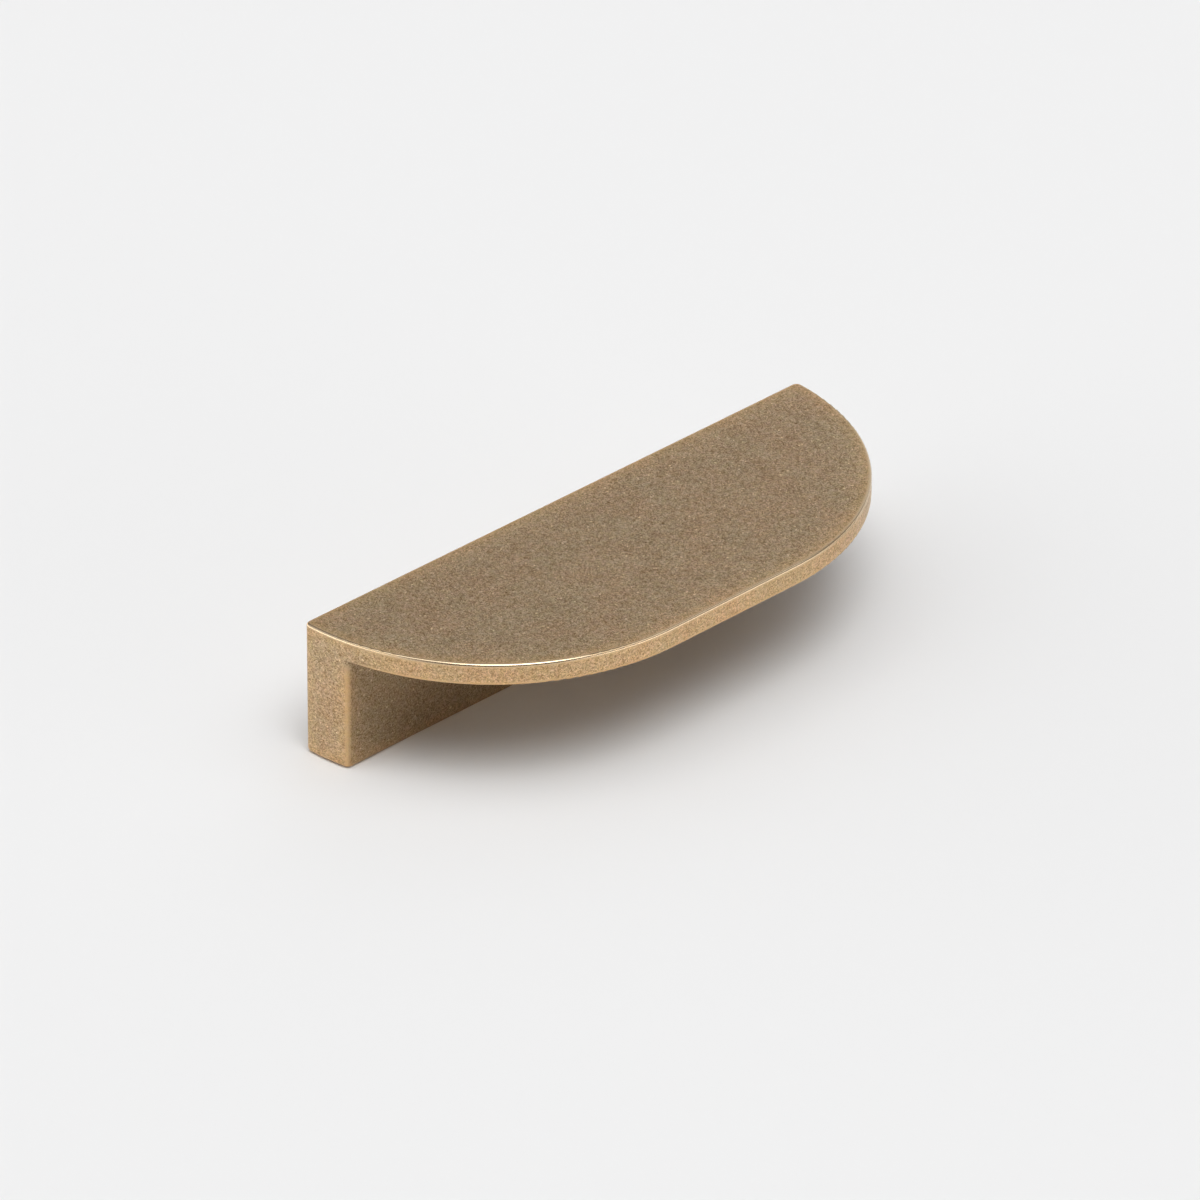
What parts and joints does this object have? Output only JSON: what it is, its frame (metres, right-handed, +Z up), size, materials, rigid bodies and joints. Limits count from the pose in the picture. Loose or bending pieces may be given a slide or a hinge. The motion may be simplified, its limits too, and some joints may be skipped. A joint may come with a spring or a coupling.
{
  "type": "cabinet pull",
  "caption": "Solid brass cabinet pull with a half-moon outline: a finger plate over a mounting leg, fixed by screws from inside the drawer or door.",
  "frame": {"origin": "on the mounting face, midway between the two screw holes", "axes": "+X along the drawer front, +Y out of the mounting face into the drawer, +Z up"},
  "size_m": [0.12, 0.045, 0.026],
  "materials": {
    "aged_brass": "tumbled and aged brass with a fine speckle, edges worn brighter"
  },
  "bodies": {
    "root": {"pull": "aged_brass"}
  },
  "joints": []
}
